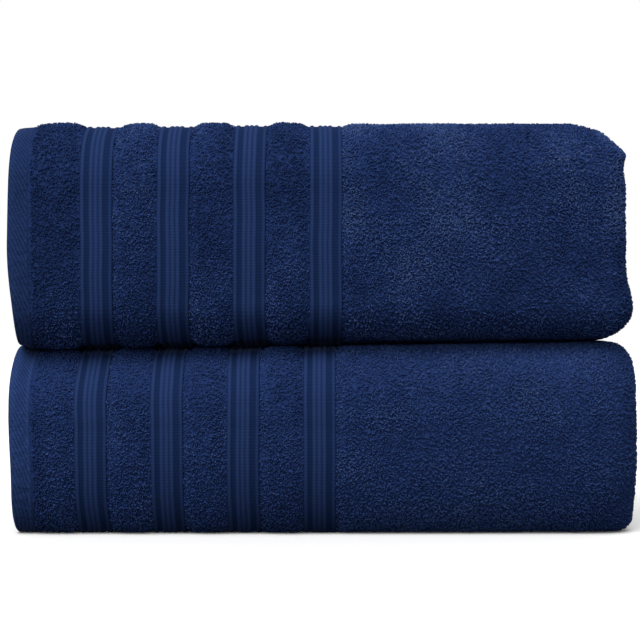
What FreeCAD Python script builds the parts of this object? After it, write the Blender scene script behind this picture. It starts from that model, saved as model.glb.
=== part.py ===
"""Two folded terry bath towels, one stacked on the other.

Each towel is a sheet of cloth folded in half along its length, in half again, then rolled over
twice across its width.  Folding the length gives a strip of four layers: layer 1 is the outside,
with an end hem at the left; layer 2 ends in the other end hem; layers 2 and 3 meet in the inner
fold at the right, layers 1 and 4 in the outer fold round it, and layers 3 and 4 meet in a fold at
the left.  The strip then runs along the top, down the front, back along the bottom, round a turn
at the back and forward again inside itself, which makes sixteen layers of cloth in the height.

An offset is a depth below the towel's skin, measured square to the strip.
"""

import FreeCAD, Part
import math
import os

import Sketcher

LAYERS = 4
BORDERS = 4
CORDS = 3
TOWELS = ("lower", "upper")

DIMENSIONS = (
    # alias, millimetres, what it is
    ("lower_left", -179.2, "x of the lower towel's hem end"),
    ("lower_length", 359.2, "folded length of the lower towel"),
    ("lower_height", 111, "height of the lower towel"),
    ("lower_base", 0, "height of the lower towel's underside"),
    ("lower_first_band", 23.9, "terry between the end hem and the first border"),
    ("lower_corner", 42, "outside radius of the lower towel's two front corners"),
    ("upper_left", -180, "x of the upper towel's hem end"),
    ("upper_length", 356, "folded length of the upper towel"),
    ("upper_height", 129, "height of the upper towel"),
    ("upper_base", 111.3, "height of the upper towel's underside"),
    ("upper_first_band", 28.2, "terry between the end hem and the first border"),
    ("upper_corner", 50, "outside radius of the upper towel's two front corners"),
    ("folded_depth", 200, "front to back"),
    ("fold_slit", 0.6, "air between the strip and itself"),
    ("layer_gap", 0.3, "air between two layers of the strip"),
    ("hem_width", 13.6, "width of an end hem"),
    ("hem_recess", 1.2, "how far a hem lies below the pile"),
    ("inner_hem_inset", 3, "how far the second end hem stops short of the first"),
    ("left_fold_inset", 6, "how far the left fold stops short of the first hem"),
    ("border_width", 18.6, "width of a woven border"),
    ("border_pitch", 43.8, "from one border to the next"),
    ("border_recess", 1.8, "how far a border's ground lies below the pile"),
    ("cord_recess", 0.8, "how far a border's cords lie below the pile"),
    ("cord_width", 1.8, "width of one cord"),
    ("cord_pitch", 2.9, "from one cord to the next"),
    ("side_hem_width", 11, "width of a side hem"),
    ("outer_edge_inset", 3, "how far the outer side edges stop short of the back fold"),
    ("inner_edge_inset", 7, "how far the inner side edges stop short of the back fold"),
    ("thread_width", 0.8, "width of a line of stitches"),
    ("thread_height", 0.4, "how far a line of stitches stands up"),
    ("thread_inset", 1.6, "from a hem's inner edge to its stitches"),
)

doc = FreeCAD.newDocument("folded_bath_towels")
sheet = doc.addObject("Spreadsheet::Sheet", "Dimensions")
for row, (alias, value, meaning) in enumerate(DIMENSIONS, start=1):
    sheet.set(f"A{row}", meaning)
    sheet.set(f"B{row}", str(value))
    sheet.setAlias(f"B{row}", alias)
doc.recompute()

nodes = []


def cell(alias):
    """A sheet value, as an expression reads it."""
    return f"Dimensions.{alias}"


def own(towel, word):
    """A towel's own sheet value, as an expression reads it."""
    return cell(f"{towel}_{word}")


def value(expression):
    """An expression's number now, for drawing a sketch where its constraints will hold it."""
    return float(sheet.evalExpression(expression.replace("Dimensions.", "")))


def layer_height(towel):
    return f"({own(towel, 'height')} - 3 * {cell('fold_slit')}) / 16"


def layer_top(towel, layer):
    """Offset of a layer's outer face: layer 1 starts at the skin itself."""
    if layer == 1:
        return "0"
    return f"({layer - 1} * {layer_height(towel)} + {cell('layer_gap')} / 2)"


def layer_bottom(towel, layer):
    return f"({layer} * {layer_height(towel)} - {cell('layer_gap')} / 2)"


def outer_edge(towel):
    """Where the strip's outer edge meets its side hem."""
    return f"({cell('folded_depth')} - {cell('outer_edge_inset')} - {cell('side_hem_width')})"


def inner_edge(towel):
    return f"({cell('folded_depth')} - {cell('inner_edge_inset')} - {cell('side_hem_width')})"


def fold_centres(towel):
    """The strip's four bends, from the outer edge on: y and z of each centre."""
    corner = own(towel, "corner")
    height = own(towel, "height")
    turn = f"({height} / 4 - {cell('fold_slit')} / 4)"
    return (
        (corner, f"({height} - {corner})"),
        (corner, corner),
        (f"({cell('folded_depth')} - {turn})", turn),
        (f"({height} / 2)", f"({height} / 2)"),
    )


def new_body(name, left, towel):
    """An empty body whose own y starts at the towel's front and whose z starts at its underside."""
    body = doc.addObject("PartDesign::Body", name)
    body.Label = name
    body.setExpression("Placement.Base.x", left)
    body.setExpression("Placement.Base.y", f"-{cell('folded_depth')} / 2")
    body.setExpression("Placement.Base.z", own(towel, "base"))
    return body


def sketch_on(body, role, name):
    """A sketch on one of the body's own origin planes."""
    sketch = body.newObject("Sketcher::SketchObject", name)
    plane = next(f for f in body.Origin.OriginFeatures if f.Role == role)
    sketch.AttachmentSupport = [(plane, "")]
    sketch.MapMode = "FlatFace"
    doc.recompute()
    return sketch


def constrain(sketch, kind, *where, to=None):
    """One constraint, bound to an expression where it has a size."""
    if to is None:
        return sketch.addConstraint(Sketcher.Constraint(kind, *where))
    index = sketch.addConstraint(Sketcher.Constraint(kind, *where, value(to)))
    label = f"size_{index}"
    sketch.renameConstraint(index, label)
    sketch.setExpression(f"Constraints.{label}", to)
    return index


def arc(centre, radius, first, last):
    """An anticlockwise arc between two angles in degrees."""
    circle = Part.Circle(FreeCAD.Vector(*centre, 0), FreeCAD.Vector(0, 0, 1), radius)
    return Part.ArcOfCircle(circle, math.radians(first), math.radians(last))


def draw_course(sketch, towel, offset, drive_centres):
    """The strip's course at one offset: five straight runs joined by four bends.

    Returns the first edge's number; the runs are even steps from it and the bends are odd ones.
    """
    depth_in = value(offset)
    (y1, z1), (y2, z2), (y3, z3), (y4, z4) = [
        (value(y), value(z)) for y, z in fold_centres(towel)
    ]
    start = value(outer_edge(towel))
    end = value(inner_edge(towel))
    front = value(own(towel, "corner")) - depth_in
    turn = z3 - depth_in
    tuck = z4 - z3 - turn
    runs = (
        ((start, z1 + front), (y1, z1 + front)),
        ((y1 - front, z1), (y2 - front, z2)),
        ((y2, z2 - front), (y3, z3 - turn)),
        ((y3, z3 + turn), (y4, z4 - tuck)),
        ((y4, z4 + tuck), (end, z4 + tuck)),
    )
    bends = (
        arc((y1, z1), front, 90, 180),
        arc((y2, z2), front, 180, 270),
        arc((y3, z3), turn, -90, 90),
        arc((y4, z4), tuck, 90, 270),
    )
    edges = []
    for (a, b), bend in zip(runs, (*bends, None)):
        edges.append(Part.LineSegment(FreeCAD.Vector(*a, 0), FreeCAD.Vector(*b, 0)))
        if bend:
            edges.append(bend)
    first = sketch.addGeometry(edges, False)[0]
    start_point, end_point, centre = 1, 2, 3
    for number in range(len(bends)):
        run = first + 2 * number
        bend = run + 1
        clockwise = number == 3
        enters = end_point if clockwise else start_point
        leaves = start_point if clockwise else end_point
        constrain(sketch, "Vertical" if number == 1 else "Horizontal", run)
        constrain(sketch, "Tangent", run, end_point, bend, enters)
        constrain(sketch, "Tangent", bend, leaves, run + 2, start_point)
        if drive_centres:
            y, z = fold_centres(towel)[number]
            constrain(sketch, "DistanceX", -1, start_point, bend, centre, to=y)
            constrain(sketch, "DistanceY", -1, start_point, bend, centre, to=z)
    constrain(sketch, "Horizontal", first + 8)
    constrain(sketch, "Radius", first + 1, to=f"{own(towel, 'corner')} - {offset}")
    return first


def draw_band(sketch, towel, outer, inner):
    """The closed outline of cloth between two offsets."""
    start_point, end_point, centre = 1, 2, 3
    skin = draw_course(sketch, towel, outer, True)
    back = draw_course(sketch, towel, inner, False)
    last = 8
    for bend in (1, 3, 5, 7):
        constrain(sketch, "Coincident", skin + bend, centre, back + bend, centre)
    constrain(sketch, "DistanceX", -1, start_point, skin, start_point, to=outer_edge(towel))
    constrain(
        sketch, "DistanceX", -1, start_point, skin + last, end_point, to=inner_edge(towel)
    )
    for edge, end in ((0, start_point), (last, end_point)):
        ends = [getattr(sketch.Geometry[at + edge], "StartPoint" if edge == 0 else "EndPoint")
                for at in (skin, back)]
        cap = sketch.addGeometry(Part.LineSegment(*ends), False)
        constrain(sketch, "Coincident", cap, start_point, skin + edge, end)
        constrain(sketch, "Coincident", cap, end_point, back + edge, end)
        constrain(sketch, "Vertical", cap)


def band(name, towel, left, width, outer, inner):
    """A width of cloth that follows the strip's whole course between two offsets."""
    body = new_body(name, left, towel)
    sketch = sketch_on(body, "YZ_Plane", f"{name}_outline")
    draw_band(sketch, towel, outer, inner)
    pad = body.newObject("PartDesign::Pad", f"{name}_pad")
    pad.Profile = sketch
    pad.setExpression("Length", width)
    sketch.Visibility = False
    return body


def add_cords(body, name, towel):
    """The raised cords of a border, evenly spaced about its middle."""
    doc.recompute()
    sketch = sketch_on(body, "YZ_Plane", f"{name}_cord_outline")
    reach = f"({(CORDS - 1) / 2} * {cell('cord_pitch')} + {cell('cord_width')} / 2)"
    sketch.setExpression("AttachmentOffset.Base.z", f"{cell('border_width')} / 2 - {reach}")
    draw_band(sketch, towel, cell("cord_recess"), cell("border_recess"))
    cord = body.newObject("PartDesign::Pad", f"{name}_cord")
    cord.Profile = sketch
    cord.setExpression("Length", cell("cord_width"))
    doc.recompute()
    cords = body.newObject("PartDesign::LinearPattern", f"{name}_cords")
    cords.Originals = [cord]
    cords.Direction = (sketch, ["N_Axis"])
    cords.setExpression("Length", f"{CORDS - 1} * {cell('cord_pitch')}")
    cords.Occurrences = CORDS
    body.Tip = cords


def fold(name, towel, left, middle, outer_radius, inner_radius, side):
    """A lengthwise fold: a half ring, open to the left or the right, run along the strip's course."""
    body = new_body(name, left, towel)
    course = sketch_on(body, "YZ_Plane", f"{name}_course")
    first = draw_course(course, towel, middle, True)
    constrain(course, "DistanceX", -1, 1, first, 1, to=outer_edge(towel))
    constrain(course, "DistanceX", -1, 1, first + 8, 2, to=inner_edge(towel))
    ring = sketch_on(body, "XZ_Plane", f"{name}_ring")
    ring.setExpression("AttachmentOffset.Base.z", f"-{outer_edge(towel)}")
    height = f"{own(towel, 'height')} - {middle}"
    at = (0, value(height))
    angles = (-90, 90) if side == "right" else (90, 270)
    arcs = [arc(at, value(radius), *angles) for radius in (outer_radius, inner_radius)]
    ring.addGeometry(arcs, False)
    start_point, end_point, centre = 1, 2, 3
    constrain(ring, "PointOnObject", 0, centre, -2)
    constrain(ring, "DistanceY", -1, start_point, 0, centre, to=height)
    constrain(ring, "Coincident", 0, centre, 1, centre)
    constrain(ring, "Radius", 0, to=outer_radius)
    constrain(ring, "Radius", 1, to=inner_radius)
    for end in (start_point, end_point):
        point = "StartPoint" if end == start_point else "EndPoint"
        ends = [getattr(ring.Geometry[edge], point) for edge in (0, 1)]
        cap = ring.addGeometry(Part.LineSegment(*ends), False)
        constrain(ring, "Coincident", cap, start_point, 0, end)
        constrain(ring, "Coincident", cap, end_point, 1, end)
        constrain(ring, "PointOnObject", 0, end, -2)
        constrain(ring, "PointOnObject", 1, end, -2)
    pipe = body.newObject("PartDesign::AdditivePipe", f"{name}_pipe")
    pipe.Profile = ring
    pipe.Spine = course
    return body


def keep(node):
    """Marks an object as a sub-part that is written to a file of its own."""
    nodes.append(node)
    return node


def group(name, members):
    """Separate pieces of one kind in one sub-part."""
    joined = doc.addObject("Part::Compound", name)
    joined.Label = name
    joined.Links = members
    return keep(joined)


def block(name, length, depth, height, x, y, z):
    """A straight strip along the towel."""
    box = doc.addObject("Part::Box", name)
    for side, size in (("Length", length), ("Width", depth), ("Height", height)):
        box.setExpression(side, size)
    for axis, place in (("x", x), ("y", y), ("z", z)):
        box.setExpression(f"Placement.Base.{axis}", place)
    return box


def border_left(towel, number):
    """x of a border's left edge, counting from the end hem."""
    first = f"{own(towel, 'left')} + {cell('hem_width')} + {own(towel, 'first_band')}"
    return f"({first} + {number - 1} * {cell('border_pitch')})"


def band_left(towel, number):
    """x of the terry band on the hem side of a border, and its width."""
    if number == 1:
        return f"({own(towel, 'left')} + {cell('hem_width')})", own(towel, "first_band")
    before = f"({border_left(towel, number - 1)} + {cell('border_width')})"
    return before, f"({cell('border_pitch')} - {cell('border_width')})"


def fold_line(towel):
    """x where the layers meet the folds of the right end."""
    right = f"{own(towel, 'left')} + {own(towel, 'length')}"
    return f"({right} - 2 * {layer_height(towel)})"


def make_outside_layer(towel):
    """Layer 1: end hem, four terry bands, four borders and the plain field."""
    outer, inner = layer_top(towel, 1), layer_bottom(towel, 1)
    keep(band(f"{towel}_end_hem", towel, own(towel, "left"), cell("hem_width"),
              cell("hem_recess"), inner))
    for number in range(1, BORDERS + 1):
        left, width = band_left(towel, number)
        keep(band(f"{towel}_terry_band_{number}", towel, left, width, outer, inner))
        name = f"{towel}_dobby_border_{number}"
        border = band(name, towel, border_left(towel, number), cell("border_width"),
                      cell("border_recess"), inner)
        add_cords(border, name, towel)
        keep(border)
    left = f"({border_left(towel, BORDERS)} + {cell('border_width')})"
    keep(band(f"{towel}_terry_field", towel, left, f"{fold_line(towel)} - {left}", outer, inner))


def make_second_layer(towel):
    """Layer 2 holds the towel's other end, woven like the first and hidden under it."""
    outer, inner = layer_top(towel, 2), layer_bottom(towel, 2)
    inset = cell("inner_hem_inset")
    keep(band(f"{towel}_inner_end_hem", towel, f"{own(towel, 'left')} + {inset}",
              cell("hem_width"), f"({outer} + {cell('hem_recess')})", inner))
    bands, borders = [], []
    for number in range(1, BORDERS + 1):
        left, width = band_left(towel, number)
        bands.append(band(f"{towel}_inner_band_{number}", towel, f"{left} + {inset}", width,
                          outer, inner))
        borders.append(band(f"{towel}_inner_border_{number}", towel,
                            f"{border_left(towel, number)} + {inset}", cell("border_width"),
                            f"({outer} + {cell('border_recess')})", inner))
    group(f"{towel}_inner_terry_bands", bands)
    group(f"{towel}_inner_dobby_borders", borders)
    left = f"({border_left(towel, BORDERS)} + {cell('border_width')} + {inset})"
    keep(band(f"{towel}_inner_terry_field", towel, left, f"{fold_line(towel)} - {left}",
              outer, inner))


def make_inner_layers(towel):
    """Layers 3 and 4: plain terry between the left fold and the right end's folds."""
    left = f"({own(towel, 'left')} + {cell('left_fold_inset')} + {layer_height(towel)})"
    for layer in (3, 4):
        keep(band(f"{towel}_terry_layer_{layer}", towel, left, f"{fold_line(towel)} - {left}",
                  layer_top(towel, layer), layer_bottom(towel, layer)))
    return left


def make_folds(towel, left_fold):
    """The two folds of the right end, one round the other, and the fold at the left."""
    thick = layer_height(towel)
    half_gap = f"{cell('layer_gap')} / 2"
    keep(fold(f"{towel}_outer_end_fold", towel, fold_line(towel), f"2 * {thick}",
              f"2 * {thick}", f"{thick} + {half_gap}", "right"))
    keep(fold(f"{towel}_inner_end_fold", towel, fold_line(towel), f"2 * {thick}",
              f"{thick} - {half_gap}", half_gap, "right"))
    keep(fold(f"{towel}_hem_end_fold", towel, left_fold, f"3 * {thick}",
              f"{thick} - {half_gap}", half_gap, "left"))


def side_hem(towel, name, edge, lowest):
    """The side hems of the strip's four layers along one edge, with their stitches."""
    thick = layer_height(towel)
    left = own(towel, "left")
    reach = f"{fold_line(towel)} - {left}"
    front = f"-{cell('folded_depth')} / 2 + {edge}"
    hems, threads = [], []
    for layer in range(LAYERS):
        under = f"{own(towel, 'base')} + {lowest} + {layer} * {thick} + {cell('hem_recess')}"
        height = f"({thick} - 2 * {cell('hem_recess')})"
        hems.append(block(f"{name}_{layer + 1}", reach, cell("side_hem_width"), height,
                          left, front, under))
        threads.append(block(f"{name}_stitches_{layer + 1}", reach, cell("thread_width"),
                             cell("thread_height"), left,
                             f"{front} + {cell('thread_inset')}", f"{under} + {height}"))
    group(name, hems)
    return threads


def make_side_hems(towel):
    slit = cell("fold_slit")
    top = f"({own(towel, 'height')} - {LAYERS} * {layer_height(towel)})"
    middle = f"({own(towel, 'height')} / 2 + {slit} / 2)"
    threads = side_hem(towel, f"{towel}_outer_side_hems", outer_edge(towel), top)
    threads += side_hem(towel, f"{towel}_inner_side_hems", inner_edge(towel), middle)
    group(f"{towel}_side_hem_thread", threads)


def make_end_hem_thread(towel):
    """One line of stitches along each end hem, near its inner edge."""
    lines = []
    for name, layer, inset in (("outer", 1, "0"), ("inner", 2, cell("inner_hem_inset"))):
        ground = f"({layer_top(towel, layer)} + {cell('hem_recess')})"
        place = f"{cell('hem_width')} - {cell('thread_inset')} - {cell('thread_width')}"
        lines.append(band(f"{towel}_{name}_end_stitches", towel,
                          f"{own(towel, 'left')} + {inset} + {place}", cell("thread_width"),
                          f"({ground} - {cell('thread_height')})", ground))
    group(f"{towel}_end_hem_thread", lines)


def make_towel(towel):
    make_outside_layer(towel)
    make_second_layer(towel)
    make_folds(towel, make_inner_layers(towel))
    make_side_hems(towel)
    make_end_hem_thread(towel)


def course_length(towel):
    """Length of the strip's middle, which is the towel's width when it is spread out."""
    middle = value(f"2 * {layer_height(towel)}")
    (y1, _), _, (y3, z3), (y4, z4) = [
        (value(y), value(z)) for y, z in fold_centres(towel)
    ]
    height = value(own(towel, "height"))
    hem = value(cell("side_hem_width"))
    start, end = value(outer_edge(towel)) + hem, value(inner_edge(towel)) + hem
    runs = (start - y1) + (height - 2 * y1) + (y3 - y1) + (y3 - y4) + (end - y4)
    turn = z3 - middle
    return runs + math.pi * (y1 - middle + turn + z4 - z3 - turn)


def spread_length(towel):
    """Length of the towel when it is spread out, along the middle of its cloth."""
    thick = value(layer_height(towel))
    long_run = value(f"{fold_line(towel)} - {own(towel, 'left')}")
    inset = value(cell("inner_hem_inset"))
    inner_run = long_run - value(cell("left_fold_inset")) - thick
    return 2 * long_run - inset + 2 * inner_run + math.pi * thick * (1.5 + 0.5 + 0.5)


for towel in TOWELS:
    make_towel(towel)
doc.recompute()

for item in doc.Objects:
    if "Invalid" in item.State or "Error" in item.State:
        raise RuntimeError(f"{item.Label} did not recompute: {item.State}")
for node in nodes:
    if node.Shape.isNull() or not node.Shape.isValid() or not node.Shape.Solids:
        raise RuntimeError(f"{node.Label} has no valid solid")

os.makedirs("parts", exist_ok=True)
for node in nodes:
    node.Shape.exportStep(f"parts/{node.Label}.step")
    print(f"{node.Label}: {len(node.Shape.Solids)} solids, {node.Shape.Volume / 1000:.1f} cm3")
for towel in TOWELS:
    print(f"{towel} towel spread out: {course_length(towel):.0f} x {spread_length(towel):.0f} mm")
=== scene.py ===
"""Two folded terry bath towels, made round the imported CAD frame.

Each towel is one sheet of cloth.  It is folded in four along its length, into a strip four layers
thick, and the strip is then folded over twice across the towel's width.  A place in the cloth has
three numbers: x along the strip, a depth below the strip's skin, and v, how far along the strip's
course round the folds it lies.  Towel.place turns them into a point.
"""

import math

import bpy
import numpy as np
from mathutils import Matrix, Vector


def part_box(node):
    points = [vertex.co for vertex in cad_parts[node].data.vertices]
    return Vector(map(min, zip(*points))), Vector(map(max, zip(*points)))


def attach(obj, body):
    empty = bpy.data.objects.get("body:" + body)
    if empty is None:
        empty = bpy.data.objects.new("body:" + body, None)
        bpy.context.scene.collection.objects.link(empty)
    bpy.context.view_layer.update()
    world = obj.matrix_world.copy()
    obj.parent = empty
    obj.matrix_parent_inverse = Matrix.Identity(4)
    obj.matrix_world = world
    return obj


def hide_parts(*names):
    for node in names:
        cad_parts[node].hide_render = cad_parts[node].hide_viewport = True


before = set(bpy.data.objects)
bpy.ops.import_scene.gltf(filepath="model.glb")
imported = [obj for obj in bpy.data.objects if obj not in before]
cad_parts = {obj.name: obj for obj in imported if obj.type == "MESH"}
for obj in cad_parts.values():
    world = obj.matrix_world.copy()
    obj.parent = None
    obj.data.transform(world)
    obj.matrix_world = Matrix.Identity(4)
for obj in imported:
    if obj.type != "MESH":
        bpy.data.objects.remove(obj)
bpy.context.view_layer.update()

MM = 0.001
LAYERS = 4  # of cloth in the strip
THICKNESSES = 4  # of the strip, once it is folded over twice
BORDERS = 4

FINE_PITCH = 1.2 * MM  # between neighbouring loops on the front
PLAIN_PITCH = 1.7 * MM  # on the top and the back
COARSE_PITCH = 2.3 * MM  # where one towel lies on the other, and underneath
MOST_LOOPS = 8000  # in one piece
YARN = 0.33 * MM  # radius of a loop's yarn
LOOP_STEPS = 3  # straight pieces in a loop
LOOP_ANGLES = np.linspace(0.06, 0.94, LOOP_STEPS + 1) * math.pi  # from one foot over to the other
YARN_SIDES = 3
BORDER_SINK = 1.3 * MM  # a border's ground lies this far below the skin
CORD_PITCH = 2.85 * MM  # between the three cords of a border
HEM_SINK = 1.3 * MM  # a hem's cloth lies this far below the skin
SEAM_RIDGE = 2.0 * MM  # from a hem's inner edge to its stitches, on a low ridge
CLOTH_SINK = 1.6 * MM  # the ground cloth lies this far below the tips of the pile
PUFF = 0.9 * MM  # how far the pile of a band swells past the skin
LAP = 0.6 * MM  # how far the pile laps over a border's edge
MEETING_AT_HEM = -4.2 * MM  # how the face where the towels meet sags at the hem end
MEETING_AT_FOLD = 1.3 * MM  # and how it rises at the fold end
CLEARANCE = 0.05 * MM  # from that face to either towel
SQUEEZE = 0.35 * MM  # how far cloth is pushed against that face before it is flattened on it


# ---------------------------------------------------------------- small helpers


def smooth_noise(a, b, cell, seed):
    """Random hills and hollows from -1 to 1, each about a cell wide."""
    size = 97  # in cells, before it repeats
    table = np.random.default_rng(seed).uniform(-1, 1, (size, size))
    i, j = np.asarray(a) / cell, np.asarray(b) / cell
    i0, j0 = np.floor(i).astype(int), np.floor(j).astype(int)
    f, g = i - i0, j - j0
    f, g = f * f * (3 - 2 * f), g * g * (3 - 2 * g)

    def corner(di, dj):
        return table[(i0 + di) % size, (j0 + dj) % size]

    near = corner(0, 0) * (1 - f) + corner(1, 0) * f
    far = corner(0, 1) * (1 - f) + corner(1, 1) * f
    return near * (1 - g) + far * g


def ramp(value, start, end):
    """0 before start, 1 after end, and smooth between them."""
    t = np.clip((value - start) / (end - start), 0, 1)
    return t * t * (3 - 2 * t)


def grid_faces(rows, columns, offset=0, wrap=False):
    """Quads over a grid of points; wrap joins the last column to the first."""
    index = np.arange(rows * columns).reshape(rows, columns) + offset
    right = np.roll(index, -1, axis=1)
    if not wrap:
        index, right = index[:, :-1], right[:, :-1]
    quads = np.stack([index[:-1], right[:-1], right[1:], index[1:]], -1)
    return quads.reshape(-1, 4)


def repeated_tubes(count, rings, sides):
    """Quads of many like tubes, whose points follow each other tube by tube and ring by ring."""
    first = np.arange(count)[:, None, None] * (rings * sides)
    return (first + grid_faces(rings, sides, wrap=True)[None]).reshape(-1, 4)


def closed_slab(top, bottom):
    """A closed mesh between two grids of points of the same size."""
    rows, columns = top.shape[:2]
    count = rows * columns
    index = np.arange(count).reshape(rows, columns)
    upper = grid_faces(rows, columns)
    lower = grid_faces(rows, columns, count)[:, ::-1]
    rims = []
    for edge in (index[0, ::-1], index[-1], index[:, 0], index[::-1, -1]):
        here, there = edge[:-1], edge[1:]
        rims.append(np.stack([there, there + count, here + count, here], -1))
    points = np.concatenate([top.reshape(-1, 3), bottom.reshape(-1, 3)])
    return points, np.concatenate([upper, lower, *rims])


def facing_out(points, faces):
    """The faces of a closed mesh, turned so that they face outwards."""
    a, b, c, d = (points[faces[:, k]] for k in range(4))
    volume = (a * np.cross(b, c)).sum() + (a * np.cross(c, d)).sum()
    return faces if volume > 0 else faces[:, ::-1]


def make_piece(name, points, faces, material, towel, nodes=(), tone=None):
    """One shown piece: its mesh, its material, the body it rides on and the nodes it stands for."""
    mesh = bpy.data.meshes.new(name)
    mesh.vertices.add(len(points))
    mesh.vertices.foreach_set("co", np.ascontiguousarray(points, np.float32).ravel())
    mesh.loops.add(faces.size)
    mesh.loops.foreach_set("vertex_index", np.ascontiguousarray(faces, np.int32).ravel())
    mesh.polygons.add(len(faces))
    mesh.polygons.foreach_set("loop_start", np.arange(0, faces.size, 4, dtype=np.int32))
    mesh.update(calc_edges=True)
    mesh.shade_smooth()
    if tone is not None:
        mesh.attributes.new("tone", "FLOAT", "POINT").data.foreach_set(
            "value", np.ascontiguousarray(tone, np.float32))
    mesh.materials.append(material)
    piece = bpy.data.objects.new(name, mesh)
    bpy.context.scene.collection.objects.link(piece)
    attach(piece, f"{towel.name}_towel")
    if nodes:
        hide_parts(*(f"{towel.name}_{node}" for node in nodes))
    return piece


# ---------------------------------------------------------------- the folded towel


class Bend:
    """A quarter of an oval at the strip's front, between a level run and the upright face."""

    TIGHTEST = 3 * MM

    def __init__(self, reach, rise):
        self.reach, self.rise = reach, rise

    def sizes(self, depth):
        """The oval's reach and rise at a depth: the inside can't turn back on itself."""
        return max(self.reach - depth, self.TIGHTEST), max(self.rise - depth, self.TIGHTEST)


class Towel:
    """Sizes of one towel, read from its CAD sub-parts, and the way its strip runs."""

    def __init__(self, name, top_bend, bottom_bend, bow, seed):
        self.name, self.seed, self.bow = name, seed, bow
        self.carries = name == "lower"  # the other towel lies on this one
        self.brushing = 0.25 if self.carries else 1.0  # how unevenly its pile is brushed, and how strong the painted shade in its loops is
        self.band_shade = 0.12 if self.carries else 0.30  # how much darker its bands are
        self.seam_ridge_highlight = 0.26 if self.carries else 0.04  # how strong the painted highlight on the ridge by a seam is
        low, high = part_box(f"{name}_terry_field")
        self.base = low.z
        self.meeting = (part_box("lower_terry_field")[1].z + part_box("upper_terry_field")[0].z) / 2
        self.height = high.z - low.z
        self.front, self.back = low.y, high.y
        self.fold_line = high.x
        self.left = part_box(f"{name}_end_hem")[0].x
        self.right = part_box(f"{name}_outer_end_fold")[1].x
        self.layer = (self.right - self.fold_line) / 2
        self.full = LAYERS * self.layer
        self.slit = (self.height - THICKNESSES * self.full) / (THICKNESSES - 1)
        self.hem_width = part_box(f"{name}_end_hem")[1].x - self.left
        self.inner_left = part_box(f"{name}_inner_end_hem")[0].x
        self.left_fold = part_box(f"{name}_hem_end_fold")[0].x + self.layer
        self.borders = [
            (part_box(f"{name}_dobby_border_{i}")[0].x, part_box(f"{name}_dobby_border_{i}")[1].x)
            for i in range(1, BORDERS + 1)
        ]
        self.outer_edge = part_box(f"{name}_outer_side_hems")[1].y
        self.inner_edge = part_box(f"{name}_inner_side_hems")[1].y
        self.side_hem_width = self.outer_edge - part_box(f"{name}_outer_side_hems")[0].y
        self.lay_course(top_bend, bottom_bend)

    def stretches(self, depth, top_bend, bottom_bend):
        """The strip's course at a depth in it, as stretches of a name, y and z from the base."""
        reach, rise = top_bend.sizes(depth)
        under_reach, under_rise = bottom_bend.sizes(depth)
        face = self.front + self.bow + depth
        level = self.height - depth
        shoulder, chin = level - rise, depth + under_rise
        turn_y, turn_z = self.back - (self.full + self.slit / 2), self.full + self.slit / 2
        tuck_y, tuck_z = self.front + self.height / 2, self.height / 2
        turn = turn_z - depth
        tuck = self.slit / 2 + depth
        half = np.linspace(0, math.pi, 90)
        quarter = np.linspace(0, math.pi / 2, 90)
        upright = np.linspace(0, 1, 30)[1:-1]
        swell = self.bow * (1 - (2 * upright - 1) ** 2) ** 2
        run_from = np.linspace(self.outer_edge, face + reach, 60)[:-1]
        run_to = np.linspace(face + under_reach, turn_y, 60)[1:-1]
        inside = np.linspace(turn_y, tuck_y, 60)[1:-1]
        out = np.linspace(tuck_y, self.inner_edge, 60)[1:]
        return (
            ("top", run_from, np.full_like(run_from, level)),
            ("shoulder", face + reach * (1 - np.sin(quarter)), shoulder + rise * np.cos(quarter)),
            ("face", face - swell, shoulder + (chin - shoulder) * upright),
            ("chin", face + under_reach * (1 - np.cos(quarter)),
             chin - under_rise * np.sin(quarter)),
            ("bottom", run_to, np.full_like(run_to, depth)),
            ("turn", turn_y + turn * np.sin(half), turn_z - turn * np.cos(half)),
            ("inside", inside, np.full_like(inside, turn_z + turn)),
            ("tuck", tuck_y - tuck * np.sin(half), tuck_z - tuck * np.cos(half)),
            ("out", out, np.full_like(out, tuck_z + tuck)),
        )

    def lay_course(self, top_bend, bottom_bend):
        """The strip's skin and its innermost face, as two lines of y and z with one measure v."""
        courses = []
        for depth in (0.0, self.full):
            names, y, z = zip(*self.stretches(depth, top_bend, bottom_bend))
            courses.append(np.stack([np.concatenate(y), np.concatenate(z) + self.base], -1))
        self.skin, self.core = courses
        middle = (self.skin + self.core) / 2
        steps = np.linalg.norm(np.diff(middle, axis=0), axis=1)
        self.v_at = np.concatenate([[0], np.cumsum(steps)])
        self.v_end = self.v_at[-1]
        last_points = np.cumsum([len(part) for part in y]) - 1
        self.v_after = {name: self.v_at[i] for name, i in zip(names, last_points)}

    def place(self, x, depth, v):
        """Points for places in the cloth, given as arrays that fit each other's shape."""
        x, depth, v = np.broadcast_arrays(x, depth, v)
        share = depth / self.full
        flat = [
            np.interp(v, self.v_at, self.skin[:, k]) * (1 - share)
            + np.interp(v, self.v_at, self.core[:, k]) * share
            for k in (0, 1)
        ]
        return self.settle(np.stack([x, *flat], -1))

    def settle(self, points):
        """The slack of soft cloth: ends that lean and droop, and faces that are never flat."""
        x, y, z = (points[..., k].copy() for k in range(3))
        rise = (z - self.base) / self.height
        near_end = ramp(x, self.fold_line - 60 * MM, self.fold_line)
        at_hem = ramp(-x, -self.left - 28 * MM, -self.left + 4 * MM)
        z = self.sagged(x, y, z, rise, at_hem)
        y = y + self.crease(x, y, z)
        x, y, z = self.parted(x, y, z, rise, near_end, at_hem)
        x = x + near_end * self.end_lean(rise)
        return np.stack(self.uneven(x, y, z, rise), -1)

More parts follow.
